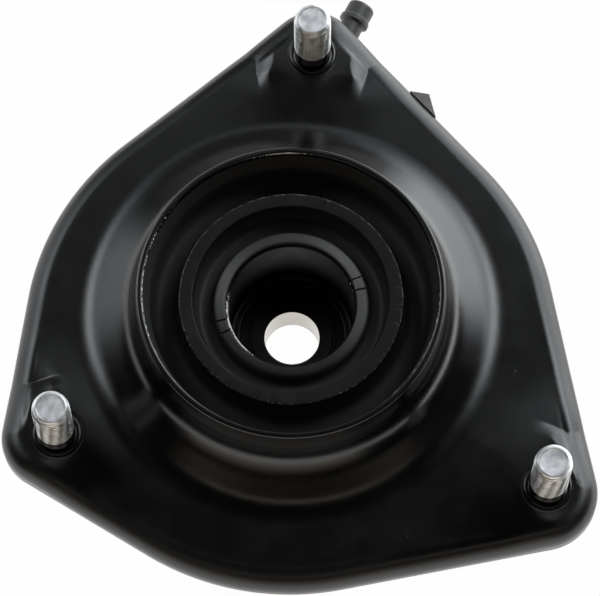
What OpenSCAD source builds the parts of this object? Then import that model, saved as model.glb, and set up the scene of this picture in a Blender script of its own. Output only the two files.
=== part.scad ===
// Strut mount: a pressed steel top plate with three studs, a bonded rubber insulator,
// a sleeve that carries a sealed ball bearing for the strut rod, and a small loom clip.
// Origin: on the rod axis, in the plane of the three stud pads. +Z points to the studs' tips.

/* [Plate] */
// Thickness of the pressed sheet
sheet_t = 2.4; // [2:0.1:3]
// Height of the stud pads above the land round the dome
pad_rise = 1.6; // [0.8:0.1:2.2]
// Outside radius of the bend along the plate's edge
edge_bend_r = 5; // [4.5:0.1:6]
// Depth of the turned-down lip, from the land to its lower edge
lip_drop = 7; // [6:0.1:9]
// Radius of the round body of the outline
body_r = 71.4; // [68:0.1:74]
// Body centre, away from the rod axis along X
body_x = -0.4; // [-2:0.1:2]
// Body centre, away from the rod axis along Y
body_y = -3.1; // [-6:0.1:0]
// Outline radius at the top corner
top_corner_r = 12.5; // [11:0.1:16]
// Outline radius at the left corner
left_corner_r = 13.6; // [11:0.1:16]
// Outline radius at the right corner
right_corner_r = 15.1; // [11:0.1:16]
// Half width of a pad's flat top
pad_half_w = 10.4; // [9:0.1:11]
// Width of the rounded ramp at each side of a pad
pad_ramp_w = 4.4; // [3.5:0.1:5]
// Length of a pad's flat top, from its corner's centre towards the dome
pad_reach = 10.5; // [10:0.1:12]
// Length of the ramp at a pad's inner end
pad_end_w = 5; // [3:0.1:6]

/* [Dome and collar] */
// Inside radius of the collar
collar_r = 38.7; // [37:0.1:40]
// Height of the collar's rim above the pads
collar_top = 19.1; // [17:0.1:22]
// Height where the collar's straight wall starts
collar_foot = 10.6; // [9.8:0.1:12]
// Radius of the bend from cone to collar
collar_bend_r = 9; // [8:0.1:9.5]
// Slope of the cone
cone_angle = 33; // [31:0.5:37]
// Radius of the bend from land to cone
dome_bend_r = 12; // [10:0.1:13]

/* [Studs] */
// Thread radius of a stud
stud_r = 5; // [4:0.1:5.2]
// Length of a stud above its pad
stud_len = 21.3; // [16:0.1:26]
// Chamfer at a stud's end
stud_chamfer = 1; // [0.5:0.1:1.5]
// Radius of the pressed-in neck in the plate
neck_r = 5.7; // [5.4:0.1:6]
// Radius of a stud's head under the plate
head_r = 7.2; // [6.9:0.1:7.4]
// Thickness of a stud's head
head_t = 2.6; // [2:0.1:3]
// Radius of the coined ring round a stud
coin_r = 6.6; // [6.3:0.1:7.2]
// Depth of the coined ring
coin_depth = 0.5; // [0.3:0.1:0.8]

/* [Sleeve and rubber] */
// Radius of the sleeve's bore above the bearing
mouth_r = 16.8; // [16.4:0.1:17]
// Wall of the sleeve above the bearing
sleeve_wall = 2.7; // [2.4:0.1:2.9]
// Height of the sleeve's upper end
sleeve_top = 7.2; // [6.5:0.1:7.6]
// Wall of the sleeve round the bearing
seat_wall = 4; // [3.4:0.1:4.5]
// Radius of the shoulder's opening above the bearing
shoulder_r = 14; // [13:0.1:15.5]
// Thickness of the shoulder
shoulder_t = 2.5; // [2:0.1:4]
// Radius of the lower flange
flange_r = 38; // [36:0.1:42]
// Thickness of the lower flange
flange_t = 3; // [2.5:0.1:3.5]
// Height of the rubber ring over the sleeve's end
lip_top = 8.5; // [8.3:0.1:9.5]
// Rubber outside the sleeve's upper end
lip_wall = 0.9; // [0.8:0.1:1.4]
// Step from the sleeve's bore to the rubber ring over its end
lip_step = 0.6; // [0.4:0.1:0.9]
// Inside radius of the stop ring's flat top
stop_in_r = 25.9; // [25:0.1:26.5]
// Outside radius of the stop ring's flat top
stop_out_r = 29.5; // [28.5:0.1:30.5]
// Height of the stop ring
stop_top = 13.2; // [11:0.1:15]
// Height of the floor between the rubber ring and the stop ring
inner_floor = 4.5; // [3:0.1:6]
// Height of the floor between the stop ring and the collar
outer_floor = 3; // [1:0.1:5]
// Thickness of the rubber on the collar's wall
lining_t = 1.4; // [1:0.1:2]
// Depth of the lining's upper edge below the rim
lining_drop = 3.4; // [2.5:0.1:5]
// Width of a slit in the rubber ring
slit_w = 0.5; // [0.3:0.1:0.8]
// Gap between the two slits of a pair
slit_pitch = 3.4; // [2.5:0.1:4.5]
// Direction of the slits round the axis
slit_angle = 17; // [0:1:90]

/* [Bearing] */
// Bore radius, the rod's own
bearing_bore_r = 7.5; // [7.3:0.1:7.7]
// Outside radius of the bearing
bearing_r = 17.5; // [17.4:0.1:17.6]
// Width of the bearing
bearing_w = 11; // [10.6:0.1:12]
// Height of the bearing's upper face
bearing_top = -18; // [-19:0.1:-17]
// Ball radius, as a share of the space between the bore and the outside
ball_share = 0.2976; // [0.28:0.0001:0.305]
// Number of balls
ball_count = 8; // [7:1:8]
// Wall of the inner race at its shoulder, as a share of that space
inner_share = 0.34; // [0.32:0.01:0.36]
// Wall of the outer race at its shoulder, as a share of that space
outer_share = 0.31; // [0.28:0.01:0.33]
// Thickness of a seal
seal_t = 0.9; // [0.7:0.1:1]
// Thickness of the cage's sheet
cage_t = 0.5; // [0.4:0.1:0.6]
// Thickness of the retaining ring
ring_t = 1.5; // [1.2:0.1:1.6]
// Radial width of the retaining ring
ring_w = 2.8; // [2.2:0.1:3.2]
// Depth of the groove that holds the retaining ring
groove_depth = 1; // [0.8:0.1:1.2]

/* [Loom clip] */
// Thickness of the clip's walls
clip_t = 2; // [1.8:0.1:2.4]
// Length of the lug over the plate's lip
lug_w = 10.4; // [8:0.1:14]
// Reach of the lug outside the plate's edge
lug_reach = 3.3; // [2.5:0.1:4.5]
// Height of the lug above the lip's lower edge
lug_h = 4; // [3:0.1:5]
// Place of the lug along the straight edge, from its lower end, as a share of the edge
lug_share = 0.45; // [0.35:0.01:0.55]
// Radius of the peg's neck
peg_r = 3.2; // [2.8:0.1:3.4]
// Radius of the peg's rim
peg_rim_r = 4.2; // [4:0.1:4.6]
// Width of the peg's rim
peg_rim_w = 1.6; // [1.2:0.1:2]
// Radius of the peg's end
peg_end_r = 3.8; // [3.4:0.1:4]
// Length of the peg's end beyond its rim
peg_end = 4.2; // [2.5:0.1:4.5]
// Reach of the peg outside the plate's edge
peg_reach = 9.2; // [8:0.1:11]
// Turn of the peg from square to the plate's edge
peg_turn = 22; // [0:1:30]
// Distance of the peg's axis from the end of the straight edge
peg_inset = 0.8; // [0:0.1:4]

/* [Hidden] */
$fn = 96;

fit = 0.02;
run_gap = 0.05;
over = 1;
whole = 200;
rim_chamfer = 0.4;
rim_round_r = 1.4;
hollow_gap = 0.3;
edge_break = 0.5;
bore_break = 0.4;
rubber_draft = 1;
rubber_bite = 1;
trough_break = 2;
slit_floor = 0.4;
groove_land = 2;
dome_margin = 1;
lug_peak = 0.6;

land_z = -pad_rise;
lip_z = land_z - lip_drop;

// Stud places and the outline's circles, each as x, y and radius
stud_places = [[6.9, 76.8], [-62.1, -31.9], [66.2, -48.5]];
body_circle = [body_x, body_y, body_r];
corner_circles = [[7.1, 78.5, top_corner_r], [-63.5, -31.5, left_corner_r], [64.5, -48.7, right_corner_r]];
outline = [for (i = [0:2]) each [corner_circles[i], body_circle]];

// Dome section
collar_out_r = collar_r + sheet_t;
collar_bend_c = [collar_out_r + collar_bend_r, collar_foot];
cone_side = [sin(cone_angle), cos(cone_angle)];
cone_top = collar_bend_c - collar_bend_r * cone_side;
dome_bend_z = land_z + dome_bend_r;
cone_foot_z = dome_bend_z - dome_bend_r * cos(cone_angle);
cone_foot = [cone_top.x + (cone_top.y - cone_foot_z) / tan(cone_angle), cone_foot_z];
dome_bend_c = cone_foot + dome_bend_r * cone_side;
dome_r = dome_bend_c.x + dome_margin;

// Bearing section
bearing_mid = bearing_top - bearing_w / 2;
bearing_low = bearing_top - bearing_w;
ring_space = bearing_r - bearing_bore_r;
ball_r = ball_share * ring_space;
inner_land_r = bearing_bore_r + inner_share * ring_space;
outer_land_r = bearing_r - outer_share * ring_space;
pitch_r = (bearing_bore_r + bearing_r) / 2;
track_r = ball_r + fit;
seal_inset = 0.4;
seal_seat = 0.9;
seal_lip = 0.3;
seal_dip = 0.2;
seal_out_r = outer_land_r + seal_seat;
seal_step = seal_inset + seal_t;
cage_gap = 0.45;
cage_in_r = inner_land_r + cage_gap;
cage_out_r = outer_land_r - cage_gap;
pocket_r = ball_r + run_gap;
rivet_r = 0.45;
rivet_head = 0.4;

// Sleeve and rubber section
seat_bore = bearing_r + fit;
seat_r = seat_bore + seat_wall;
sleeve_r = mouth_r + sleeve_wall;
lip_bore_r = mouth_r + lip_step;
lip_r = sleeve_r + lip_wall;
seat_top = bearing_top + shoulder_t;
neck_z = seat_top + abs(seat_r - sleeve_r);
groove_top = bearing_low - fit;
groove_h = ring_t + 2 * fit;
flange_low = groove_top - groove_h - groove_land;
flange_top = flange_low + flange_t;
clip_z = lip_z - clip_t;

// Outward direction of the straight edge that leaves circle a for circle b, going anticlockwise
function edge_angle(a, b) =
    let (d = [b.x - a.x, b.y - a.y])
    atan2(d.y, d.x) - acos((a.z - b.z) / norm(d));
function dir(angle) = [cos(angle), sin(angle)];

function arc(centre, r, from, to, steps) =
    [for (k = [0:steps]) centre + r * dir(from + (to - from) * k / steps)];

// Round end of the outline with its rolled upper edge, as a full disc
module edge_disc(c, top, inset, low) {
    r = c.z - inset;
    bend = edge_bend_r - inset;
    translate([c.x, c.y, 0]) rotate_extrude($fn = 72)
        polygon(concat([[0, low], [r, low]], arc([r - bend, top - bend], bend, 0, 90, 6), [[0, top]]));
}

// The land with its turned-down edge, wrapped round the body and the three corners
module land_form(inset, low) hull() {
    edge_disc(body_circle, land_z - inset, inset, low);
    for (c = corner_circles) edge_disc(c, land_z - inset, inset, low);
}

// Stands at a corner, with X pointing along its pad to the dome
module at_corner(i) {
    c = corner_circles[i];
    stud = stud_places[i];
    translate([c.x, c.y, 0]) rotate([0, 0, atan2(stud.y, stud.x) + 180]) children();
}

// Raised corner: its rolled edge starts at the pad's level, and a ramp leads down on the other sides
module corner_form(i) hull() {
    c = corner_circles[i];
    at_corner(i) {
        edge_disc([0, 0, c.z], 0, 0, lip_z);
        for (step = [0, 0.5, 1]) pad_layer(step);
    }
}

// Layer of a pad's inner part: step 0 is its flat top, 1 the foot of its rounded ramp
module pad_layer(step) {
    half = pad_half_w + step * pad_ramp_w;
    top = land_z + pad_rise * (1 - pow(step, 2));
    translate([pad_reach - over, -half, land_z - over])
        cube([over + step * pad_end_w, 2 * half, top - land_z + over]);
}

// Hollow under a raised corner, one sheet thickness below its top
module corner_hollow(i) {
    c = corner_circles[i];
    half = min(pad_half_w, c.z - edge_bend_r) - hollow_gap;
    at_corner(i) {
        edge_disc([0, 0, c.z - hollow_gap], -sheet_t, sheet_t, lip_z - over);
        translate([0, -half, lip_z - over]) cube([pad_reach - hollow_gap, 2 * half, over - lip_z - sheet_t]);
    }
}

// Section of the dome and collar as one bent sheet; thick may take in a bond gap under the sheet
module dome_section(thick) {
    turn = 270 - cone_angle;
    polygon(concat([[dome_r, land_z]],
                   arc(dome_bend_c, dome_bend_r, 270, turn, 6),
                   arc(collar_bend_c, collar_bend_r, turn, 180, 8),
                   arc([collar_out_r - rim_round_r, collar_top - rim_round_r], rim_round_r, 0, 90, 5),
                   [[collar_r + rim_chamfer, collar_top], [collar_out_r - thick, collar_top - rim_chamfer]],
                   arc(collar_bend_c, collar_bend_r + thick, 180, turn, 8),
                   arc(dome_bend_c, dome_bend_r + thick, turn, 270, 6),
                   [[dome_r, land_z - thick]]));
}

module mounting_plate() color([0.09, 0.09, 0.1]) {
    difference() {
        union() {
            land_form(0, lip_z);
            for (i = [0:2]) corner_form(i);
        }
        land_form(sheet_t, lip_z - over);
        for (i = [0:2]) corner_hollow(i);
        translate([0, 0, lip_z - over]) cylinder(r = dome_r, h = whole);
        for (place = stud_places) {
            translate([place.x, place.y, -whole / 2]) cylinder(r = neck_r + fit, h = whole);
            translate([place.x, place.y, -coin_depth]) cylinder(r = coin_r, h = whole);
        }
    }
    rotate_extrude($fn = 192) dome_section(sheet_t);
}

module stud() {
    cylinder(r = stud_r, h = stud_len - stud_chamfer);
    translate([0, 0, stud_len - stud_chamfer])
        cylinder(r1 = stud_r, r2 = stud_r - stud_chamfer, h = stud_chamfer);
    translate([0, 0, -sheet_t - fit]) cylinder(r = neck_r, h = sheet_t + fit);
    translate([0, 0, -sheet_t - fit - stud_chamfer])
        cylinder(r1 = head_r, r2 = head_r - stud_chamfer, h = stud_chamfer);
    translate([0, 0, -sheet_t - fit - head_t]) cylinder(r = head_r, h = head_t - stud_chamfer);
}

module mounting_studs() color([0.75, 0.76, 0.77])
    for (place = stud_places) translate([place.x, place.y, 0]) stud();

// Rubber body before the plate's sheet is cut out of its outer edge: its outer line runs inside the sheet,
// and its free lower side is a hollow arc from the dome's foot to the flange's edge
module rubber_blank() {
    turn = 270 - cone_angle;
    mid_t = sheet_t / 2;
    wall = collar_out_r - mid_t;
    lining_r = collar_r - lining_t;
    lining_top = collar_top - lining_drop;
    hollow_top = land_z - sheet_t - rubber_bite;
    foot = [flange_r - edge_break, flange_top + fit];
    hollow_w = dome_bend_c.x - foot.x;
    hollow_h = hollow_top - foot.y;
    hollow_r = (pow(hollow_w, 2) + pow(hollow_h, 2)) / (2 * hollow_h);
    hollow_c = [dome_bend_c.x, hollow_top - hollow_r];
    foot_turn = 180 + asin((hollow_h - hollow_r) / hollow_r);
    polygon(concat([[sleeve_r + fit, sleeve_top + fit], [lip_bore_r, sleeve_top + fit],
                    [lip_bore_r, lip_top - edge_break], [lip_bore_r + edge_break, lip_top],
                    [lip_r - edge_break, lip_top], [lip_r, lip_top - edge_break],
                    [lip_r + edge_break, inner_floor], [stop_in_r - rubber_draft, inner_floor],
                    [stop_in_r, stop_top], [stop_out_r, stop_top],
                    [stop_out_r + rubber_draft, outer_floor],
                    [lining_r - trough_break, outer_floor], [lining_r, outer_floor + trough_break],
                    [lining_r, lining_top - lining_t], [collar_r - fit, lining_top], [wall, lining_top]],
                   arc(collar_bend_c, collar_bend_r + mid_t, 180, turn, 8),
                   arc(dome_bend_c, dome_bend_r + mid_t, turn, 270, 6),
                   arc(hollow_c, hollow_r, 90, foot_turn, 14),
                   [[seat_r + fit, foot.y], [seat_r + fit, seat_top], [sleeve_r + fit, neck_z]]));
}

module rubber_insulator() color([0.06, 0.06, 0.065]) difference() {
    rotate_extrude($fn = 192) difference() {
        rubber_blank();
        dome_section(sheet_t + fit);
    }
    for (turn = [0, 180], side = [-0.5, 0.5])
        rotate([0, 0, slit_angle + turn])
            translate([lip_bore_r - over, side * slit_pitch - slit_w / 2, sleeve_top + slit_floor])
                cube([lip_r - lip_bore_r + 2 * over, slit_w, lip_top]);
}

module bearing_sleeve() color([0.13, 0.13, 0.14]) rotate_extrude($fn = 192) {
    shoulder_z = bearing_top + fit;
    shoulder_top = shoulder_z + shoulder_t;
    groove_r = seat_bore + groove_depth;
    polygon([[mouth_r, sleeve_top - edge_break], [mouth_r + edge_break, sleeve_top], [sleeve_r, sleeve_top],
             [sleeve_r, neck_z], [seat_r, seat_top], [seat_r, flange_top],
             [flange_r - edge_break, flange_top], [flange_r, flange_top - edge_break],
             [flange_r, flange_low + edge_break], [flange_r - edge_break, flange_low],
             [seat_bore + edge_break, flange_low], [seat_bore, flange_low + edge_break],
             [seat_bore, groove_top - groove_h], [groove_r, groove_top - groove_h], [groove_r, groove_top],
             [seat_bore, groove_top], [seat_bore, shoulder_z], [shoulder_r, shoulder_z],
             [shoulder_r, shoulder_top - edge_break], [shoulder_r + edge_break, shoulder_top],
             [mouth_r, shoulder_top]]);
}

module bearing_outer_race() color([0.62, 0.63, 0.64]) rotate_extrude($fn = 128) difference() {
    polygon([[outer_land_r, bearing_low + seal_step], [seal_out_r, bearing_low + seal_step],
             [seal_out_r, bearing_low], [bearing_r - edge_break, bearing_low],
             [bearing_r, bearing_low + edge_break], [bearing_r, bearing_top - edge_break],
             [bearing_r - edge_break, bearing_top], [seal_out_r, bearing_top],
             [seal_out_r, bearing_top - seal_step], [outer_land_r, bearing_top - seal_step]]);
    translate([pitch_r, bearing_mid]) circle(track_r);
}

module bearing_inner_race() color([0.66, 0.67, 0.68]) rotate_extrude($fn = 128) difference() {
    break_r = bearing_bore_r + bore_break;
    polygon([[break_r, bearing_low], [inner_land_r, bearing_low], [inner_land_r, bearing_top],
             [break_r, bearing_top], [bearing_bore_r, bearing_top - bore_break],
             [bearing_bore_r, bearing_low + bore_break]]);
    translate([pitch_r, bearing_mid]) circle(track_r);
}

module round_balls()
    for (i = [0:ball_count - 1])
        rotate([0, 0, i * 360 / ball_count]) translate([pitch_r, 0, bearing_mid]) children();

module between_balls()
    rotate([0, 0, 180 / ball_count]) round_balls() children();

module bearing_balls() color([0.8, 0.8, 0.82]) round_balls() sphere(ball_r, $fn = 48);

// Half of the pressed cage: a flat ring with a round pocket over each ball
module cage_half() intersection() {
    difference() {
        union() {
            translate([0, 0, bearing_mid + fit / 2]) cylinder(r = cage_out_r + over, h = cage_t);
            round_balls() sphere(pocket_r + cage_t, $fn = 48);
        }
        round_balls() sphere(pocket_r, $fn = 48);
        between_balls() cylinder(r = rivet_r + fit, h = whole, center = true);
    }
    translate([0, 0, bearing_mid + fit / 2]) difference() {
        cylinder(r = cage_out_r, h = ball_r + cage_t + over);
        translate([0, 0, -over]) cylinder(r = cage_in_r, h = whole);
    }
}

module turned_over()
    translate([0, 0, 2 * bearing_mid]) mirror([0, 0, 1]) children();

module cage_upper() color([0.7, 0.62, 0.4]) cage_half();

module cage_lower() color([0.7, 0.62, 0.4]) turned_over() cage_half();

module cage_rivets() color([0.72, 0.72, 0.74]) between_balls() {
    shank = 2 * (cage_t + fit);
    cylinder(r = rivet_r, h = shank, center = true);
    for (side = [0, 1]) mirror([0, 0, side])
        translate([0, 0, shank / 2]) cylinder(r1 = 2 * rivet_r, r2 = rivet_r, h = rivet_head);
}

// Rubber-faced seal, seated in the outer race's step and just clear of the inner race
module seal() rotate_extrude($fn = 128) {
    in_r = inner_land_r + run_gap;
    out_r = seal_out_r - fit;
    low = bearing_top - seal_step + fit;
    top = bearing_top - seal_inset;
    polygon([[in_r, low + seal_lip], [in_r + seal_lip, low], [out_r, low], [out_r, top],
             [out_r - seal_seat, top], [out_r - seal_seat - seal_dip, top - seal_dip],
             [in_r + seal_seat + seal_dip, top - seal_dip], [in_r + seal_seat, top], [in_r, top]]);
}

module seal_upper() color([0.1, 0.1, 0.11]) seal();

module seal_lower() color([0.1, 0.1, 0.11]) turned_over() seal();

// Open spring ring in the sleeve's groove, with an eyed lug at each end
module retaining_ring() color([0.2, 0.2, 0.21]) {
    out_r = seat_bore + groove_depth - 2 * fit;
    in_r = out_r - ring_w;
    lug_r = 0.8 * ring_w;
    lug_turn = 13;
    gap_turn = 10;
    translate([0, 0, groove_top - groove_h + fit]) difference() {
        union() {
            difference() {
                cylinder(r = out_r, h = ring_t);
                translate([0, 0, -over]) cylinder(r = in_r, h = whole);
                translate([0, 0, -over]) linear_extrude(whole)
                    polygon([[0, 0], whole * dir(270 - gap_turn), whole * dir(270 + gap_turn)]);
            }
            for (side = [-1, 1])
                rotate([0, 0, 270 + side * lug_turn]) translate([in_r, 0, 0]) cylinder(r = lug_r, h = ring_t);
        }
        for (side = [-1, 1])
            rotate([0, 0, 270 + side * lug_turn]) translate([in_r, 0, -over])
                cylinder(r = lug_r / 2, h = whole);
    }
}

// Moulded clip on the lip of the upper right edge: a strap inside the lip, a lug over it and a headed peg
module loom_clip() color([0.3, 0.3, 0.31]) {
    body = outline[5];
    corner = outline[0];
    angle = edge_angle(body, corner);
    edge = [body.x, body.y] + body.z * dir(angle);
    run = norm([corner.x, corner.y] + corner.z * dir(angle) - edge);
    back = -sheet_t - fit - clip_t;
    strap_h = land_z - edge_bend_r - clip_z;
    lug_from = run * lug_share - lug_w / 2;
    lug_to = lug_from + lug_w;
    lug_tip = [lug_reach, lug_from + lug_peak * lug_w];
    peg_y = run - peg_inset;
    peg_z = lip_z - peg_rim_r - run_gap;
    foot_half = peg_r + clip_t / 2;
    translate([edge.x, edge.y, 0]) rotate([0, 0, angle]) {
        translate([back, lug_from, clip_z]) cube([clip_t, peg_y - foot_half - lug_from, strap_h]);
        translate([0, 0, clip_z]) linear_extrude(clip_t - fit)
            polygon([[back, lug_from], [fit, lug_from], lug_tip, [fit, lug_to], [back, lug_to]]);
        translate([0, 0, clip_z]) linear_extrude(clip_t + lug_h)
            polygon([[fit, lug_from], lug_tip, [fit, lug_to]]);
        translate([back, peg_y - foot_half - clip_t, peg_z - foot_half])
            cube([clip_t, 2 * foot_half + clip_t, clip_z + clip_t / 2 - peg_z + foot_half]);
        translate([back + clip_t / 2, peg_y, peg_z]) rotate([0, 0, peg_turn]) peg(-back);
    }
}

// Peg along X: a neck, a rim outside the plate's lip and a stout end with a rounded edge
module peg(lip_depth) rotate([0, 90, 0]) rotate_extrude($fn = 64) {
    tip = (peg_reach + lip_depth) / cos(peg_turn);
    rim_to = tip - peg_end;
    rim_from = rim_to - peg_rim_w;
    round_r = peg_end_r / 4;
    polygon(concat([[0, 0], [peg_r, 0], [peg_r, rim_from - edge_break], [peg_rim_r, rim_from],
                    [peg_rim_r, rim_to - edge_break], [peg_end_r, rim_to]],
                   arc([peg_end_r - round_r, tip - round_r], round_r, 0, 90, 5), [[0, tip]]));
}

mounting_plate();
mounting_studs();
rubber_insulator();
bearing_sleeve();
bearing_outer_race();
bearing_inner_race();
bearing_balls();
cage_upper();
cage_lower();
cage_rivets();
seal_upper();
seal_lower();
retaining_ring();
loom_clip();
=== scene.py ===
"""Strut mount: finishes, fine detail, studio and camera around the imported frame."""
import math
import random

import bmesh
import bpy
import numpy as np
from mathutils import Matrix, Vector


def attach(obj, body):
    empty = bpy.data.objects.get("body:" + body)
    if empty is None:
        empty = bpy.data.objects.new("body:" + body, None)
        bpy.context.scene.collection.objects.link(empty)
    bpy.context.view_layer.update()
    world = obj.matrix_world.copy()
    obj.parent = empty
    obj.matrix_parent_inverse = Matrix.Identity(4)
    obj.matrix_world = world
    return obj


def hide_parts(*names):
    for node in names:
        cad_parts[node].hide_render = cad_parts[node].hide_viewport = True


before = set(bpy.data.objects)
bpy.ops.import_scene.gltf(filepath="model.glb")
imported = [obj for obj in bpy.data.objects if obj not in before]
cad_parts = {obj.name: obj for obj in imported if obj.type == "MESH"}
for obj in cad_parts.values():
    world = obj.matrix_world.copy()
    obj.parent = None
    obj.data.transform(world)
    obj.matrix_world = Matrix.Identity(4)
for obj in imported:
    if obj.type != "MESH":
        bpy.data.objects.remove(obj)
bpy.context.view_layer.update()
MM = 0.001

# Plate sizes in millimetres
SHEET_T = 2.4
PAD_RISE = 1.6
EDGE_BEND = 5.0
LIP_DROP = 7.0
LAND_Z = -PAD_RISE
LIP_Z = LAND_Z - LIP_DROP
BODY_CIRCLE = (-0.4, -3.1, 71.4)
CORNER_CIRCLES = [(7.1, 78.5, 12.5), (-63.5, -31.5, 13.6), (64.5, -48.7, 15.1)]
STUDS = [(6.9, 76.8), (-62.1, -31.9), (66.2, -48.5)]
PAD_FOOT = 15.4
PAD_FOOT_FROM = 4.0
PAD_TAPER = 0.19
PAD_RAMP = 5.4
PAD_RAMP_LEAST = 0.6
PAD_CROWN = 0.4
PAD_SIDE_FROM = 1.0
PAD_SIDE_ENDS = [14.5, 10.0, 14.0]
PAD_FADE_FROM = 6.0
PAD_FADE_TO = [28.0, 20.0, 32.0]
PAD_SOFT_REACH = 16.0
PAD_GENTLE_SIDES = [0, -1, 1]
PAD_GENTLE_REACH = 4.0
PAD_EDGE_RAMP = 13.0
PAD_EDGE_FROM = 0.89
ROLLED_FADE = (3.0, 6.5)
LIP_ROUND = 0.4
COLLAR_R = 38.7
COLLAR_OUT = COLLAR_R + SHEET_T
COLLAR_TOP = 19.1
COLLAR_FOOT = 11.7
COLLAR_BEND = 10.5
CONE_ANGLE = 30.0
DOME_BEND = 13.0
RIM_THIN = 0.6
RIM_ROUND = 0.6
SKIN_GAP = 0.02

# Stud sizes, and the coined rings round the studs
STUD_R = 5.0
STUD_LEN = 21.3
STUD_COAT = 4.8
THREAD_PITCH = 1.25
THREAD_DEPTH = 0.62
THREAD_RUN_IN = (0.6, 2.2)
THREAD_RINGS = 12
FLANK_SLOPE = 2.6
FLANK_FLAT = 0.2
CHAMFER_H = 1.0
CHAMFER_SLOPE = 0.9
END_GROOVE_CUT = 0.45
END_GROOVE_DOWN = 1.45
END_GROOVE_W = 0.24
END_DISH = 0.2
END_BRIGHT = 0.3
HEAD_R = 7.2
HEAD_T = 2.6
POLE_R = 0.01
NECK_R = 5.7
COIN_R = 6.6
COIN_DEPTH = 0.9
COIN_COVER = 0.35

# Rubber, sleeve and bearing sizes
LIP_TOP = 8.5
LIP_R = 20.4
LIP_BORE = 17.4
SLEEVE_TOP = 7.2
SLEEVE_R = 19.5
MOUTH_R = 16.8
SEAT_R = 21.52
SEAT_BORE = 17.52
STOP_IN = 25.9
STOP_OUT = 29.5
STOP_TOP = 13.2
INNER_FLOOR = 4.5
OUTER_FLOOR = 3.0
LINING_T = 1.4
LINING_TOP = COLLAR_TOP - 1.6
LINING_TAPER = 5.0
SLIT_W = 0.4
SLIT_PITCH = 3.4
SLIT_ANGLES = (17.0, 198.0)
SLIT_AT_R = 19.2
SLIT_FLOOR = SLEEVE_TOP + 0.5
NIB_SEED = 11
NIB_COUNT = 60
NIB_WIDTHS = (0.15, 0.5)
NIB_HEIGHTS = (-0.2, 0.16)
SHOULDER_R = 14.0
SHOULDER_T = 2.5
BEARING_TOP = -18.0
FLANGE_R = 38.0
FLANGE_T = 3.0
FLANGE_LOW = -32.56
FLANGE_TOP = FLANGE_LOW + FLANGE_T
GROOVE_TOP = -29.02
GROOVE_LOW = -30.56
SEAT_TOP = BEARING_TOP + SHOULDER_T
NECK_Z = SEAT_TOP + SEAT_R - SLEEVE_R

# Loom clip: its lug lies below this Y
LUG_BELOW = 76.0

# Photograph's camera: focal length in pixels of a 600 wide frame, tilt from straight down, roll and distance
PHOTO_W = 600
FOCAL_PX = 2988.8
CAMERA_TILT = math.radians(20.37)
CAMERA_ROLL = -0.016
CAMERA_DISTANCE = 792.6
CAMERA_TARGET = (2.358, 2.947, 5.0)


def direction(degrees):
    angle = math.radians(degrees)
    return np.array([math.cos(angle), math.sin(angle)])


def arc(centre, r, start, end, steps):
    """Points on an arc, both ends included."""
    return [np.array(centre) + r * direction(start + (end - start) * k / steps) for k in range(steps + 1)]


def rounded(points, radii, steps):
    """A closed outline with each corner rounded by its own radius; 0 leaves the corner sharp."""
    result = []
    count = len(points)
    for i in range(count):
        corner = np.array(points[i], float)
        radius = radii[i]
        if radius <= 0:
            result.append(corner)
            continue
        before = np.array(points[i - 1], float) - corner
        after = np.array(points[(i + 1) % count], float) - corner
        reach_before = np.linalg.norm(before)
        reach_after = np.linalg.norm(after)
        before /= reach_before
        after /= reach_after
        half = math.acos(max(-1.0, min(1.0, float(before @ after)))) / 2
        cut = min(radius / math.tan(half), 0.49 * reach_before, 0.49 * reach_after)
        start = corner + before * cut
        end = corner + after * cut
        for k in range(steps + 1):
            t = k / steps
            result.append((1 - t) ** 2 * start + 2 * t * (1 - t) * corner + t * t * end)
    return result


def smoothstep(low, high, value):
    t = np.clip((value - low) / (high - low), 0.0, 1.0)
    return t * t * (3 - 2 * t)


def grid_mesh(name, rings, closed_rings=True):
    """A surface from rings of points: rings[k][j] is point j of ring k, in millimetres."""
    rings = np.asarray(rings, float)
    count, around = rings.shape[:2]
    faces = []
    last = count if closed_rings else count - 1
    for k in range(last):
        up = (k + 1) % count
        for j in range(around):
            side = (j + 1) % around
            faces.append((k * around + j, k * around + side, up * around + side, up * around + j))
    mesh = bpy.data.meshes.new(name)
    mesh.from_pydata((rings.reshape(-1, 3) * MM).tolist(), [], faces)
    mesh.validate()
    return mesh


def add_object(name, data):
    obj = bpy.data.objects.new(name, data)
    bpy.context.scene.collection.objects.link(obj)
    return obj


def add_piece(name, mesh, material, body, replaced, sharp):
    """Links a mesh, shades it smooth up to an edge angle, and hangs it on its body."""
    obj = add_object(name, mesh)
    mesh.shade_smooth()
    mesh.set_sharp_from_angle(angle=math.radians(sharp))
    mesh.materials.append(material)
    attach(obj, body)
    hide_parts(*replaced)


def lathe_rings(section, around, shape=None):
    """Rings of a turned form: one ring for each point of its closed (r, z) section."""
    turn = np.linspace(0, 2 * math.pi, around, endpoint=False)
    rings = []
    for point in section:
        r = np.full(around, float(point[0]))
        z = np.full(around, float(point[1]))
        if shape:
            r, z = shape(r, z, turn)
        rings.append(np.stack([r * np.cos(turn), r * np.sin(turn), z], axis=-1))
    return rings


def outward(section):
    """The section in the order that turns its faces outward."""
    pts = np.asarray(section, float)
    nxt = np.roll(pts, -1, axis=0)
    area = np.sum(pts[:, 0] * nxt[:, 1] - nxt[:, 0] * pts[:, 1])
    return list(pts[::-1]) if area < 0 else list(pts)


# Materials

FLECK_SCALE = 1500
FLECK_REACH = 0.4
FLECK_LEVEL = 0.8
FLECK_EDGE = 18.0
BARE_METAL = (0.75, 0.73, 0.7)
# Pale grey of the stop ring's scuffs and painted edge highlight
SCUFF_AND_HIGHLIGHT_GREY = (0.12, 0.12, 0.12)
SPECK_CELLS = 110
SPECK_SIZE = 0.022
SPECK_COLOUR = (0.12, 0.12, 0.12)
# Grey of the painted light on the rubber
PAINTED_LIGHT_GREY = (0.3, 0.3, 0.3)
ROLLED_ROUGHNESS = 0.14
COAT_IOR = 1.58


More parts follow.
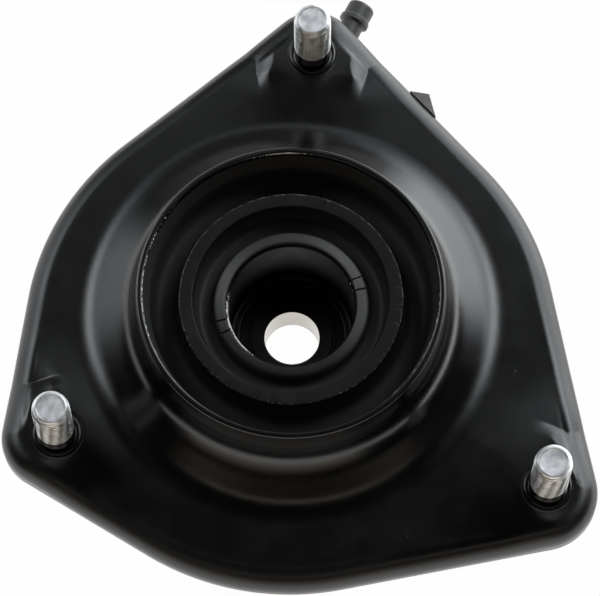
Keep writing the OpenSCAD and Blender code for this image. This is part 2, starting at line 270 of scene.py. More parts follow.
def new_material(name):
    material = bpy.data.materials.new(name)
    material.use_nodes = True
    nodes = material.node_tree.nodes
    shader = nodes["Principled BSDF"]
    return material, nodes, material.node_tree.links, shader


def noise(nodes, links, scale, detail):
    """Noise in object space, in lumps of about 1 / scale metres."""
    coord = nodes.new("ShaderNodeTexCoord")
    texture = nodes.new("ShaderNodeTexNoise")
    texture.inputs["Scale"].default_value = scale
    texture.inputs["Detail"].default_value = detail
    links.new(coord.outputs["Object"], texture.inputs["Vector"])
    return texture.outputs["Fac"]


def ramp(nodes, links, source, low, high, dark, light):
    """Maps a value to a colour or grey between two stops."""
    node = nodes.new("ShaderNodeValToRGB")
    node.color_ramp.elements[0].position = low
    node.color_ramp.elements[1].position = high
    node.color_ramp.elements[0].color = (*dark, 1)
    node.color_ramp.elements[1].color = (*light, 1)
    links.new(source, node.inputs["Fac"])
    return node.outputs["Color"]


def grey(value):
    return (value, value, value)


def haze(nodes, links, scale, detail, rough):
    """Roughness that drifts between two values."""
    drift = noise(nodes, links, scale, detail)
    return ramp(nodes, links, drift, 0.3, 0.7, grey(rough[0]), grey(rough[1]))


def bump(nodes, links, shader, height, strength, distance):
    node = nodes.new("ShaderNodeBump")
    node.inputs["Strength"].default_value = strength
    node.inputs["Distance"].default_value = distance
    links.new(height, node.inputs["Height"])
    links.new(node.outputs["Normal"], shader.inputs["Normal"])


def arithmetic(nodes, links, operation, first, second, clamp=False):
    """A maths node; each input is a socket or a number."""
    node = nodes.new("ShaderNodeMath")
    node.operation = operation
    node.use_clamp = clamp
    for socket, value in zip(node.inputs, (first, second)):
        if isinstance(value, (int, float)):
            socket.default_value = value
        else:
            links.new(value, socket)
    return node.outputs[0]


def layer_value(nodes, name):
    """One of the layers painted on the mesh."""
    node = nodes.new("ShaderNodeAttribute")
    node.attribute_name = name
    return node.outputs["Fac"]


def mix_colour(nodes, links, share, base, colour):
    """Mixes a fixed colour into a base colour by a share from 0 to 1."""
    node = nodes.new("ShaderNodeMix")
    node.data_type = "RGBA"
    links.new(share, node.inputs["Factor"])
    links.new(base, node.inputs["A"])
    node.inputs["B"].default_value = (*colour, 1)
    return node.outputs["Result"]


def worn_and_highlight_colour(nodes, links, base, bare):
    """Breaks a surface up into pale chips where the mesh's wear_and_highlight layer allows it: worn chips on
    the plate and the sleeve, and on the stop ring scuffs with a painted edge highlight.
    """
    fleck = noise(nodes, links, scale=FLECK_SCALE, detail=3)
    level = arithmetic(nodes, links, "MULTIPLY", layer_value(nodes, "wear_and_highlight"), FLECK_REACH)
    level = arithmetic(nodes, links, "ADD", level, fleck)
    level = arithmetic(nodes, links, "SUBTRACT", level, FLECK_LEVEL)
    mask = arithmetic(nodes, links, "MULTIPLY", level, FLECK_EDGE, True)
    return mix_colour(nodes, links, mask, base, bare)


def coat_material(name, dark, light, rough, specular=0.5):
    """Black electro-coat on steel: faint orange peel, a few grey specks of settled dirt and flecks of bare
    metal.
    """
    material, nodes, links, shader = new_material(name)
    tint = noise(nodes, links, scale=60, detail=4)
    colour = ramp(nodes, links, tint, 0.35, 0.7, dark, light)
    coord = nodes.new("ShaderNodeTexCoord")
    cells = nodes.new("ShaderNodeTexVoronoi")
    cells.inputs["Scale"].default_value = SPECK_CELLS
    links.new(coord.outputs["Object"], cells.inputs["Vector"])
    speck = arithmetic(nodes, links, "LESS_THAN", cells.outputs["Distance"], SPECK_SIZE)
    colour = mix_colour(nodes, links, speck, colour, SPECK_COLOUR)
    colour = worn_and_highlight_colour(nodes, links, colour, BARE_METAL)
    links.new(colour, shader.inputs["Base Color"])
    coarse = arithmetic(nodes, links, "MULTIPLY", layer_value(nodes, "rolled"), ROLLED_ROUGHNESS)
    even = haze(nodes, links, scale=140, detail=5, rough=rough)
    links.new(arithmetic(nodes, links, "ADD", coarse, even), shader.inputs["Roughness"])
    shader.inputs["IOR"].default_value = COAT_IOR
    shader.inputs["Specular IOR Level"].default_value = specular
    peel = noise(nodes, links, scale=700, detail=2)
    bump(nodes, links, shader, peel, strength=0.08, distance=0.0002)
    return material


def rubber_material(name, dark, light, rough, specular):
    """Moulded black rubber or plastic: satin skin with a fine grain and a faint grey bloom; where the mesh
    has a painted_light layer, its colour is lightened to grey as painted light.
    """
    material, nodes, links, shader = new_material(name)
    bloom = noise(nodes, links, scale=160, detail=6)
    colour = ramp(nodes, links, bloom, 0.4, 0.75, dark, light)
    # Painted light: the painted_light layer lightens the colour towards grey, as painted fill and painted
    # highlights.
    colour = mix_colour(nodes, links, layer_value(nodes, "painted_light"), colour, PAINTED_LIGHT_GREY)
    # Pale flecks on the stop ring's outer edge: scuffs, and a painted edge highlight.
    colour = worn_and_highlight_colour(nodes, links, colour, SCUFF_AND_HIGHLIGHT_GREY)
    links.new(colour, shader.inputs["Base Color"])
    links.new(haze(nodes, links, scale=320, detail=4, rough=rough), shader.inputs["Roughness"])
    shader.inputs["Specular IOR Level"].default_value = specular
    grain = noise(nodes, links, scale=2200, detail=3)
    bump(nodes, links, shader, grain, strength=0.2, distance=0.0002)
    return material


def metal_material(name, dark, light, rough, scale):
    """Bare or plated metal with a mottled tone and fine working marks."""
    material, nodes, links, shader = new_material(name)
    shader.inputs["Metallic"].default_value = 1.0
    mottle = noise(nodes, links, scale, detail=5)
    links.new(ramp(nodes, links, mottle, 0.3, 0.7, dark, light), shader.inputs["Base Color"])
    links.new(haze(nodes, links, scale * 2.3, detail=4, rough=rough), shader.inputs["Roughness"])
    marks = noise(nodes, links, scale * 6, detail=2)
    bump(nodes, links, shader, marks, strength=0.04, distance=0.0001)
    return material


BLACK_COAT = coat_material("black_coat", (0.0003, 0.0004, 0.0006), (0.0007, 0.0009, 0.0012), (0.2, 0.25))
SLEEVE_COAT = coat_material("sleeve_coat", grey(0.001), grey(0.002), (0.34, 0.44), 0.12)
RUBBER = rubber_material("rubber", grey(0.005), grey(0.009), (0.4, 0.5), 0.18)
SEAL_RUBBER = rubber_material("seal_rubber", grey(0.003), grey(0.006), (0.45, 0.6), 0.2)
ZINC = metal_material("zinc", (0.46, 0.47, 0.47), (0.74, 0.74, 0.73), (0.26, 0.4), 420)
STUD_END = metal_material("stud_end", (0.44, 0.45, 0.46), (0.86, 0.86, 0.88), (0.4, 0.6), 420)
# Bearing steel: the steel's own grey, warmed as painted light for the warm glow thrown into the bore from
# below
BEARING_STEEL = metal_material("bearing_steel", (0.33, 0.305, 0.275), (0.4, 0.37, 0.335), (0.24, 0.32), 120)
# Near-black steel, as painted shade on the inner race's flat faces deep in the bore
RACE_FACE_SHADE_STEEL = metal_material("race_face_painted_shade", grey(0.02), grey(0.035), (0.4, 0.55), 120)
BALL_STEEL = metal_material("ball_steel", (0.62, 0.62, 0.63), (0.7, 0.7, 0.71), (0.08, 0.14), 300)
CAGE_STEEL = metal_material("cage_steel", (0.36, 0.36, 0.35), (0.46, 0.46, 0.45), (0.3, 0.45), 700)
SPRING_STEEL = metal_material("spring_steel", (0.05, 0.05, 0.055), (0.1, 0.1, 0.11), (0.35, 0.5), 600)
CLIP_PLASTIC = rubber_material("clip_plastic", grey(0.035), grey(0.055), (0.4, 0.55), 0.6)
# Paler copy of the clip's plastic, as painted light on the lug's faces that catch the light
LUG_PAINTED_LIGHT_PLASTIC = rubber_material("lug_painted_light_plastic", grey(0.12), grey(0.19), (0.4, 0.55), 0.6)


# Layers painted on the meshes

def mesh_points(mesh):
    """The mesh's vertices in millimetres."""
    points = np.empty(len(mesh.vertices) * 3)
    mesh.vertices.foreach_get("co", points)
    return points.reshape(-1, 3) / MM


def write_layer(mesh, name, values):
    """Stores one number for each vertex, for the materials to read."""
    layer = mesh.attributes.new(name, "FLOAT", "POINT")
    layer.data.foreach_set("value", values)


def paint_wear_and_highlight(mesh, edge_r, edge_z, spread, strength):
    """Paints the wear_and_highlight layer along a round edge: worn chips, and on the stop ring scuffs that
    also paint its highlight; strength gives its amount for each angle round the axis.
    """
    x, y, z = mesh_points(mesh).T
    off_edge = np.hypot(np.hypot(x, y) - edge_r, z - edge_z)
    angle = np.degrees(np.arctan2(y, x)) % 360
    write_layer(mesh, "wear_and_highlight", np.exp(-(off_edge / spread) ** 2) * strength(angle))


def hump(angle, centre, spread):
    """A soft peak of 1 round one direction, in degrees."""
    off = (angle - centre + 180) % 360 - 180
    return np.exp(-(off / spread) ** 2)


# Pressed plate

def edge_angle(a, b):
    """Outward direction, in degrees, of the straight edge from circle a to circle b, going anticlockwise."""
    dx = b[0] - a[0]
    dy = b[1] - a[1]
    return math.degrees(math.atan2(dy, dx) - math.acos((a[2] - b[2]) / math.hypot(dx, dy)))


def plate_outline(step=0.5):
    """Points and outward normals along the outline, at even angles round the rod axis."""
    ring = []
    for circle in CORNER_CIRCLES:
        ring += [circle, BODY_CIRCLE]
    points = []
    normals = []
    for i, circle in enumerate(ring):
        start = edge_angle(ring[i - 1], circle)
        end = edge_angle(circle, ring[(i + 1) % 6])
        sweep = (end - start) % 360
        count = max(2, int(sweep / step))
        for k in range(count + 1):
            normal = direction(start + sweep * k / count)
            points.append(np.array(circle[:2]) + circle[2] * normal)
            normals.append(normal)
    points = np.array(points)
    normals = np.array(normals)
    polar = np.unwrap(np.arctan2(points[:, 1], points[:, 0]))
    return polar, points, normals


def along(polar, values, turn):
    """Values along the outline, read at the given angles round the rod axis."""
    full = np.concatenate([polar - 2 * math.pi, polar, polar + 2 * math.pi])
    columns = [np.interp(turn, full, np.tile(values[:, k], 3)) for k in range(values.shape[1])]
    return np.stack(columns, axis=-1)


def pad_height(points, ramp=PAD_RAMP):
    """How far the pads lift the land at each point, from 0 to 1; ramp is the width of their sides."""
    lift = np.zeros(len(points))
    for stud, side_end, fade_to, gentle in zip(STUDS, PAD_SIDE_ENDS, PAD_FADE_TO, PAD_GENTLE_SIDES):
        stud = np.array(stud)
        inward = -stud / np.linalg.norm(stud)
        offset = points - stud
        along_pad = offset @ inward
        sideways = offset @ np.array([-inward[1], inward[0]])
        across = np.abs(sideways)
        foot = PAD_FOOT - PAD_TAPER * (along_pad - PAD_FOOT_FROM)
        crisp = 1 - smoothstep(PAD_SIDE_FROM, side_end, along_pad)
        side = np.clip((foot - across) / (ramp * np.maximum(crisp, PAD_RAMP_LEAST)), 0, 1)
        side = side * (1 + PAD_CROWN - PAD_CROWN * side)
        slow = smoothstep(0.0, PAD_FOOT, foot + PAD_GENTLE_REACH - across)
        side = np.where(sideways * gentle > 0, slow, side)
        soft = smoothstep(-PAD_SOFT_REACH, PAD_FOOT, foot - across)
        run = np.clip((along_pad - PAD_FADE_FROM) / (fade_to - PAD_FADE_FROM), 0, 1)
        end = 1 - 0.5 * run - 0.5 * smoothstep(0.0, 1.0, run)
        lift = np.maximum(lift, end * (crisp * side + (1 - crisp) * soft))
    return lift


def dome_section(thick, steps):
    """Upper side of the dome and collar, from the land inward, at a depth below the sheet's face."""
    side = direction(90 - CONE_ANGLE)
    collar_c = np.array([COLLAR_OUT + COLLAR_BEND, COLLAR_FOOT])
    cone_top = collar_c - COLLAR_BEND * side
    foot_z = LAND_Z + DOME_BEND * (1 - math.cos(math.radians(CONE_ANGLE)))
    cone_foot = np.array([cone_top[0] + (cone_top[1] - foot_z) / math.tan(math.radians(CONE_ANGLE)), foot_z])
    dome_c = cone_foot + DOME_BEND * side
    turn = 270 - CONE_ANGLE
    low = arc(dome_c, DOME_BEND + thick, 270, turn, steps)
    high = arc(collar_c, COLLAR_BEND + thick, turn, 180, steps)
    cone = [low[-1] + (high[0] - low[-1]) * k / 4 for k in range(1, 4)]
    return low + cone + high


def plate_turns(fine=0.3, coarse=0.9, pad_reach=17):
    """Angles round the rod axis for the plate's skin: close together across the pads."""
    pads = [math.degrees(math.atan2(y, x)) for x, y in STUDS]
    turns = []
    angle = 0.0
    while angle < 360 - coarse / 2:
        turns.append(math.radians(angle))
        near = min(abs((angle - pad + 180) % 360 - 180) for pad in pads)
        angle += fine if near < pad_reach else coarse
    return np.array(turns)


def plate_mesh(upper_steps=40, lower_steps=12):
    """The sheet as one closed skin: rings from the rim over the edge and back inside."""
    turn = plate_turns()
    around = len(turn)
    circle = np.stack([np.cos(turn), np.sin(turn)], axis=-1)
    polar, points, normals = plate_outline()
    edge = along(polar, points, turn)
    normal = along(polar, normals, turn)
    normal /= np.linalg.norm(normal, axis=1)[:, None]
    rings = []

    def dome_ring(point, lift=0.0):
        height = np.full(around, float(point[1])) + lift
        rings.append(np.concatenate([circle * point[0], height[:, None]], axis=1))

    def land_rings(depth, order):
        foot = dome_section(depth, 8)[0][0]
        reach = edge - normal * EDGE_BEND
        for share in order:
            place = circle * foot * (1 - share) + reach * share
            near_edge = smoothstep(PAD_EDGE_FROM, 1.0, share)
            lift = pad_height(place) * (1 - near_edge) + edge_lift * near_edge
            height = LAND_Z - depth + PAD_RISE * lift
            rings.append(np.concatenate([place, height[:, None]], axis=1))

    def edge_ring(inset, height):
        rings.append(np.concatenate([edge - normal * inset, height[:, None]], axis=1))

    edge_lift = pad_height(edge - normal * EDGE_BEND, PAD_EDGE_RAMP)
    top = LAND_Z + PAD_RISE * edge_lift
    rim_c = (COLLAR_OUT - RIM_THIN - RIM_ROUND, COLLAR_TOP - RIM_ROUND)
    rim = [(COLLAR_R, COLLAR_TOP - 0.5), (COLLAR_R + 0.06, COLLAR_TOP - 0.3),
           (COLLAR_R + 0.16, COLLAR_TOP - 0.14), (COLLAR_R + 0.32, COLLAR_TOP - 0.04),
           (COLLAR_R + 0.6, COLLAR_TOP)]
    for point in rim + arc(rim_c, RIM_ROUND, 90, 0, 8):
        dome_ring(point)
    for share in (0.33, 0.67):
        dome_ring((COLLAR_OUT - RIM_THIN * (1 - share), rim_c[1] + (COLLAR_FOOT - rim_c[1]) * share))
    for point in dome_section(0, 10)[::-1]:
        dome_ring(point, PAD_RISE * pad_height(circle * point[0]))
    land_rings(0, np.linspace(0, 1, upper_steps + 1)[1:])
    for angle in (75, 60, 45, 30, 15, 0):
        lean = math.radians(angle)
        edge_ring(EDGE_BEND * (1 - math.cos(lean)), top - EDGE_BEND * (1 - math.sin(lean)))
    level = np.full(around, LIP_Z)
    edge_ring(0, level + LIP_ROUND)
    edge_ring(LIP_ROUND, level)
    edge_ring(SHEET_T - LIP_ROUND, level)
    edge_ring(SHEET_T, level + LIP_ROUND)
    inner_bend = EDGE_BEND - SHEET_T
    for angle in (0, 30, 60, 90):
        lean = math.radians(angle)
        edge_ring(SHEET_T + inner_bend * (1 - math.cos(lean)),
                  top - SHEET_T - inner_bend * (1 - math.sin(lean)))
    land_rings(SHEET_T, np.linspace(1, 0, lower_steps + 1)[1:-1])
    for point in dome_section(SHEET_T, 10):
        dome_ring(point)
    for drop in (6.0, 4.0, 2.5, 1.2, 0.8):
        dome_ring((COLLAR_R, COLLAR_TOP - drop))
    return grid_mesh("mounting_plate_skin", rings[::-1])


def coin_ring_section():
    """Coined ring in the plate round a stud's neck: a shallow groove with a raised inner edge."""
    return outward([(COIN_R + 1.1, -0.8), (COIN_R + 1.1, -0.02), (COIN_R + 0.9, 0.004), (COIN_R + 0.2, 0.006),
                    (COIN_R, -0.02), (COIN_R - 0.2, -0.14), (NECK_R + 0.5, -0.16), (NECK_R + 0.35, 0.0),
                    (NECK_R + 0.2, 0.08), (NECK_R - 0.1, 0.0), (NECK_R - 0.15, -COIN_DEPTH)])


def open_at_studs(mesh):
    """Takes away the skin's upper faces under the coined rings, so that their grooves stay open."""
    form = bmesh.new()
    form.from_mesh(mesh)
    hidden = []
    for face in form.faces:
        middle = face.calc_center_median() / MM
        near = min(math.hypot(middle.x - x, middle.y - y) for x, y in STUDS)
        if middle.z > -COIN_DEPTH and near < COIN_R + COIN_COVER:
            hidden.append(face)
    bmesh.ops.delete(form, geom=hidden, context="FACES")
    form.to_mesh(mesh)
    form.free()
    return mesh


def moved(rings, x, y):
    return [ring + np.array([x, y, 0.0]) for ring in rings]


def merge_meshes(name, meshes):
    """One mesh from several."""
    points = []
    faces = []
    for mesh in meshes:
        start = len(points)
        points += [tuple(v.co) for v in mesh.vertices]
        faces += [tuple(start + i for i in p.vertices) for p in mesh.polygons]
    result = bpy.data.meshes.new(name)
    result.from_pydata(points, [], faces)
    return result


def rim_wear(angle):
    """Wear of the rim's inner edge: most at the back, some on the left and lower right."""
    return 1.3 * hump(angle, 92, 12) + hump(angle, 180, 48) + 0.95 * hump(angle, 335, 45)


def paint_rolled(mesh):
    """Paints 1 on the rolled edge, where the coat is coarser, and 0 on the land."""
    points = mesh_points(mesh)[:, :2]
    polar, outline, _ = plate_outline()
    edge = along(polar, outline, np.arctan2(points[:, 1], points[:, 0]))
    inset = np.linalg.norm(edge, axis=1) - np.linalg.norm(points, axis=1)
    write_layer(mesh, "rolled", 1 - smoothstep(*ROLLED_FADE, inset))


def build_plate():
    rings = [grid_mesh("coin", moved(lathe_rings(coin_ring_section(), 72), x, y)) for x, y in STUDS]
    mesh = merge_meshes("mounting_plate_skin", [open_at_studs(plate_mesh())] + rings)
    add_piece("pressed_plate", mesh, BLACK_COAT, "mount", ["mounting_plate"], 60)
    paint_wear_and_highlight(mesh, COLLAR_R, COLLAR_TOP - 0.3, 0.35, rim_wear)
    paint_rolled(mesh)


# Studs

def stud_rings(around=64):
    """A threaded stud with a chamfered, lightly dished end, a plain neck and a flat head under the plate."""
    turn = np.linspace(0, 2 * math.pi, around, endpoint=False)
    lead = turn / (2 * math.pi)
    head_top = -SHEET_T - SKIN_GAP
    head_low = head_top - HEAD_T
    dish = STUD_LEN - END_DISH
    rings = []

    def ring(radius, height):
        r = np.broadcast_to(radius, turn.shape)
        rings.append(np.stack([r * np.cos(turn), r * np.sin(turn), np.full(around, height)], axis=-1))

    for radius, height in [(POLE_R, head_low), (HEAD_R - 0.5, head_low), (HEAD_R, head_low + 0.4),
                           (HEAD_R, head_top - 1.0), (HEAD_R - 1.0, head_top), (NECK_R, head_top),
                           (NECK_R, -0.8), (STUD_R - 0.1, -0.6)]:
        ring(radius, height)
    thread_from = -0.5
    thread_to = STUD_LEN - 0.05
    count = int((thread_to - thread_from) / THREAD_PITCH * THREAD_RINGS)
    for k in range(count + 1):
        height = thread_from + (thread_to - thread_from) * k / count
        phase = (height / THREAD_PITCH - lead) % 1.0
        flank = np.clip(np.abs(phase - 0.5) * FLANK_SLOPE - FLANK_FLAT, 0, 1)
        run_in = float(smoothstep(*THREAD_RUN_IN, height))
        cap = STUD_R - max(0.0, height - (STUD_LEN - CHAMFER_H)) * CHAMFER_SLOPE
        cap -= END_GROOVE_CUT * math.exp(-((height - STUD_LEN + END_GROOVE_DOWN) / END_GROOVE_W) ** 2)
        ring(np.minimum(STUD_R - THREAD_DEPTH * flank * run_in, cap), height)
    for radius, height in [(3.95, STUD_LEN), (3.6, STUD_LEN - 0.02), (3.45, dish), (3.3, dish - 0.02),
                           (1.6, dish), (POLE_R, dish)]:
        ring(radius, height)
    return rings


def build_studs():
    rings = stud_rings()
    meshes = [grid_mesh("stud", moved(rings, x, y), closed_rings=False) for x, y in STUDS]
    mesh = merge_meshes("mounting_studs_skin", meshes)
    add_piece("threaded_studs", mesh, ZINC, "mount", ["mounting_studs"], 35)
    mesh.materials.append(BLACK_COAT)
    mesh.materials.append(STUD_END)
    for face in mesh.polygons:
        if face.center.z < STUD_COAT * MM:
            face.material_index = 1
        elif face.center.z > (STUD_LEN - END_BRIGHT) * MM and face.normal.z > 0.9:
            face.material_index = 2


# Rubber insulator

def rubber_section():
    """Section of the rubber between the plate's dome and the sleeve."""
    skin = dome_section(SHEET_T + SKIN_GAP, 8)
    under = LAND_Z - SHEET_T - 1
    foot_z = FLANGE_TOP + SKIN_GAP
    wide = skin[0][0] - FLANGE_R + 0.5
    high = under - foot_z
    hollow_r = (wide ** 2 + high ** 2) / (2 * high)
    hollow_c = (skin[0][0], under - hollow_r)
    foot_angle = 180 + math.degrees(math.asin((high - hollow_r) / hollow_r))
    upper = [(SLEEVE_R + SKIN_GAP, SLEEVE_TOP + SKIN_GAP), (LIP_BORE, SLEEVE_TOP + SKIN_GAP),
             (LIP_BORE, LIP_TOP), (LIP_R, LIP_TOP), (LIP_R + 0.5, INNER_FLOOR), (STOP_IN - 1, INNER_FLOOR),
             (STOP_IN, STOP_TOP), (STOP_OUT - 0.9, STOP_TOP), (STOP_OUT, STOP_TOP),
             (STOP_OUT + 1, OUTER_FLOOR), (COLLAR_R - LINING_T, OUTER_FLOOR),
             (COLLAR_R - LINING_T, LINING_TOP - LINING_TAPER), (COLLAR_R - SKIN_GAP, LINING_TOP)]
    radii = [0, 0.25, 1.2, 1.5, 1.4, 1.8, 0.45, 0, 0.5, 2.2, 3.6, 4, 0]
    open_end = [tuple(p) for p in skin[::-1]]
    hollow = [tuple(p) for p in arc(hollow_c, hollow_r, 90, foot_angle, 22)]
    lower = [(SEAT_R + SKIN_GAP, foot_z), (SEAT_R + SKIN_GAP, SEAT_TOP), (SLEEVE_R + SKIN_GAP, NECK_Z)]
    points = upper + open_end + hollow + lower
    return outward(rounded(points, radii + [0] * (len(points) - len(radii)), 5))


def rubber_shape(r, z, turn):
    """Slits across the sleeve's rubber ring, and small mould nibs on the stop ring."""
    for base in SLIT_ANGLES:
        for side in (-0.5, 0.5):
            centre = math.radians(base) + side * SLIT_PITCH / SLIT_AT_R
            away = np.abs((turn - centre + math.pi) % (2 * math.pi) - math.pi) * r
            cut = (away < SLIT_W / 2) & (r < LIP_R + 0.45) & (z > SLEEVE_TOP + 0.4)
            z = np.where(cut, SLIT_FLOOR, z)
    on_edge = (np.abs(z - STOP_TOP) < 0.5) & (r > STOP_OUT - 0.5) & (r < STOP_OUT + 0.3)
    draw = random.Random(NIB_SEED)
    for _ in range(NIB_COUNT):
        centre = draw.uniform(0, 2 * math.pi)
        wide = draw.uniform(*NIB_WIDTHS)
        high = draw.uniform(*NIB_HEIGHTS)
        away = np.abs((turn - centre + math.pi) % (2 * math.pi) - math.pi) * r
        z = z + np.where(on_edge, high * np.exp(-(away / wide) ** 2), 0)
    return r, z


def stop_scuffs_and_highlight(angle):
    """Scuffed outer edge of the stop ring, whose pale flecks also paint the edge's highlight: most at the
    back and the sides.
    """
    return 0.8 + 0.35 * hump(angle, 60, 60) + 0.35 * hump(angle, 170, 50)


def lip_painted_highlight(angle):
    """Painted highlight on the ring over the sleeve, by direction: lightest on the right and the left, faint
    at the back, darkest at the front.
    """
    sides = 0.4 * hump(angle, 40, 32) + 0.28 * hump(angle, 160, 32) + 0.2 * hump(angle, 350, 30)
    return 0.03 + sides + 0.1 * hump(angle, 95, 40)


def build_rubber():
    mesh = grid_mesh("rubber_insulator_skin", lathe_rings(rubber_section(), 840, rubber_shape))
    add_piece("moulded_rubber", mesh, RUBBER, "mount", ["rubber_insulator"], 50)
    # Painted highlight: pale flecks along the stop ring's outer edge stand for its scuffs and for the light
    # its edge catches.
    paint_wear_and_highlight(mesh, STOP_OUT, STOP_TOP, 0.4, stop_scuffs_and_highlight)
    x, y, z = mesh_points(mesh).T
    r = np.hypot(x, y)
    on_stop = (r > STOP_IN - 1) & (r < STOP_OUT + 1) & (z > STOP_TOP - 1)
    on_lip = (r < LIP_R + 0.4) & (z > LIP_TOP - 0.8)
    # Painted light: the stop ring's top keeps the rubber's own dark colour. The rest is lightened a little as
    # painted fill in the shaded hollows, and the ring over the sleeve takes painted highlights.
    painted_light = np.where(on_stop, 0.0, 0.08)
    painted_light = np.where(on_lip, lip_painted_highlight(np.degrees(np.arctan2(y, x)) % 360), painted_light)
    write_layer(mesh, "painted_light", painted_light)


# Sleeve, and the finishes of the other pieces

def sleeve_section():
    shoulder = BEARING_TOP + SKIN_GAP
    points = [(MOUTH_R, SLEEVE_TOP - 0.5), (MOUTH_R + 0.5, SLEEVE_TOP), (SLEEVE_R, SLEEVE_TOP),
              (SLEEVE_R, NECK_Z), (SEAT_R, SEAT_TOP), (SEAT_R, FLANGE_TOP), (FLANGE_R, FLANGE_TOP),
              (FLANGE_R, FLANGE_LOW), (SEAT_BORE + 0.6, FLANGE_LOW), (SEAT_BORE, FLANGE_LOW + 0.6),
              (SEAT_BORE, GROOVE_LOW), (SEAT_BORE + 1, GROOVE_LOW), (SEAT_BORE + 1, GROOVE_TOP),
              (SEAT_BORE, GROOVE_TOP), (SEAT_BORE, shoulder), (SHOULDER_R, shoulder),
              (SHOULDER_R, shoulder + SHOULDER_T), (MOUTH_R, shoulder + SHOULDER_T)]
    radii = [0.2, 0.2, 0.3, 0.5, 0.5, 0, 0.7, 0.7, 0.2, 0.2, 0, 0, 0, 0, 0, 0.2, 0.6, 1.2]
    return outward(rounded(points, radii, 4))


def mouth_wear(angle):
    """Rough bright edge at the sleeve's mouth, on its left and lower side."""
    return 1.5 * hump(angle, 203, 38) + 0.5 * hump(angle, 20, 40)


def build_sleeve():
    mesh = grid_mesh("bearing_sleeve_skin", lathe_rings(sleeve_section(), 360))
    add_piece("turned_sleeve", mesh, SLEEVE_COAT, "mount", ["bearing_sleeve"], 35)
    paint_wear_and_highlight(mesh, MOUTH_R, SLEEVE_TOP - 0.4, 0.75, mouth_wear)


def dress_cad_nodes():
    """Finishes for the pieces whose CAD form is kept."""
    finishes = {
        "bearing_outer_race": BEARING_STEEL, "bearing_inner_race": BEARING_STEEL, "bearing_balls": BALL_STEEL,
        "cage_upper": CAGE_STEEL, "cage_lower": CAGE_STEEL, "cage_rivets": CAGE_STEEL,
        "seal_upper": SEAL_RUBBER, "seal_lower": SEAL_RUBBER, "retaining_ring": SPRING_STEEL,
        "loom_clip": CLIP_PLASTIC,
    }
    for node, material in finishes.items():
        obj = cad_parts[node]
        obj.data.materials.clear()
        obj.data.materials.append(material)
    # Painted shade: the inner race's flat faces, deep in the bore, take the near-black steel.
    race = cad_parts["bearing_inner_race"].data
    race.materials.append(RACE_FACE_SHADE_STEEL)
    for face in race.polygons:
        if abs(face.normal.z) > 0.5:
            face.material_index = 1
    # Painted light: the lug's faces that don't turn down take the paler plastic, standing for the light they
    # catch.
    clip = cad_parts["loom_clip"].data
    clip.materials.append(LUG_PAINTED_LIGHT_PLASTIC)
    for face in clip.polygons:
        if face.center.y < LUG_BELOW * MM and face.normal.z > -0.5:
            face.material_index = 1
    for node, width in {"loom_clip": 0.5, "retaining_ring": 0.15}.items():
        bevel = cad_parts[node].modifiers.new("soft_edges", "BEVEL")
        bevel.width = width * MM
        bevel.segments = 3
        bevel.limit_method = "ANGLE"
        bevel.angle_limit = math.radians(40)


# Studio: lengths in metres, angles in degrees

COOL = (0.93, 0.97, 1.0)
WARM = (1.0, 0.88, 0.74)
AMBIENT = 0.01
PANEL_DISTANCE = 1.2
FLOOR_HALF = 6.0
FLOOR_GAP = 0.0001
FLOOR_GLOW = 0.985
POOL_AZIMUTH = 41
POOL_REACH = (0.07, 0.32)
POOL_GLOW = (1.35, 3.75)


def aim(obj, azimuth, elevation):
    """Puts a panel at its place, with its face to the part and its upper edge up."""
    turn = math.radians(azimuth)
    rise = math.radians(elevation)
    flat = math.cos(rise)
    place = PANEL_DISTANCE * Vector((math.cos(turn) * flat, math.sin(turn) * flat, math.sin(rise)))
    obj.location = place
    obj.rotation_euler = (-place).to_track_quat("-Z", "Y").to_euler()


def quad_mesh(name, corners, material):
    mesh = bpy.data.meshes.new(name)
    mesh.from_pydata(corners, [], [(0, 1, 2, 3)])
    mesh.materials.append(material)
    return mesh


def fade(nodes, links, value, reach):
    """0 to 1 over the first part of a value's range, with soft ends."""
    node = nodes.new("ShaderNodeMapRange")
    node.interpolation_type = "SMOOTHSTEP"
    node.inputs["From Max"].default_value = reach
    links.new(value, node.inputs["Value"])
    return node.outputs["Result"]


def softbox(name, azimuth, elevation, size, radiance, colour, feather):
    """A clear diffuser panel whose glow fades to its edges; feather: the shares at sides, foot and top."""
    material, nodes, links, shader = new_material(name)
    nodes.remove(shader)
    coord = nodes.new("ShaderNodeTexCoord")
    split = nodes.new("ShaderNodeSeparateXYZ")
    links.new(coord.outputs["Generated"], split.inputs["Vector"])
    across = split.outputs["X"]
    up = split.outputs["Y"]
    parts = [fade(nodes, links, across, feather[0]),
             fade(nodes, links, arithmetic(nodes, links, "SUBTRACT", 1.0, across), feather[0]),
             fade(nodes, links, up, feather[1]),
             fade(nodes, links, arithmetic(nodes, links, "SUBTRACT", 1.0, up), feather[2])]
    strength = radiance
    for part in parts:
        strength = arithmetic(nodes, links, "MULTIPLY", strength, part)
    glow = nodes.new("ShaderNodeEmission")
    glow.inputs["Color"].default_value = (*colour, 1)
    links.new(strength, glow.inputs["Strength"])
    clear = nodes.new("ShaderNodeBsdfTransparent")
    both = nodes.new("ShaderNodeAddShader")
    links.new(glow.outputs["Emission"], both.inputs[0])
    links.new(clear.outputs["BSDF"], both.inputs[1])
    links.new(both.outputs["Shader"], nodes["Material Output"].inputs["Surface"])
    wide = size[0] / 2
    high = size[1] / 2
    corners = [(-wide, -high, 0), (-wide, high, 0), (wide, high, 0), (wide, -high, 0)]
    obj = add_object(name, quad_mesh(name, corners, material))
    obj.visible_camera = False
    aim(obj, azimuth, elevation)


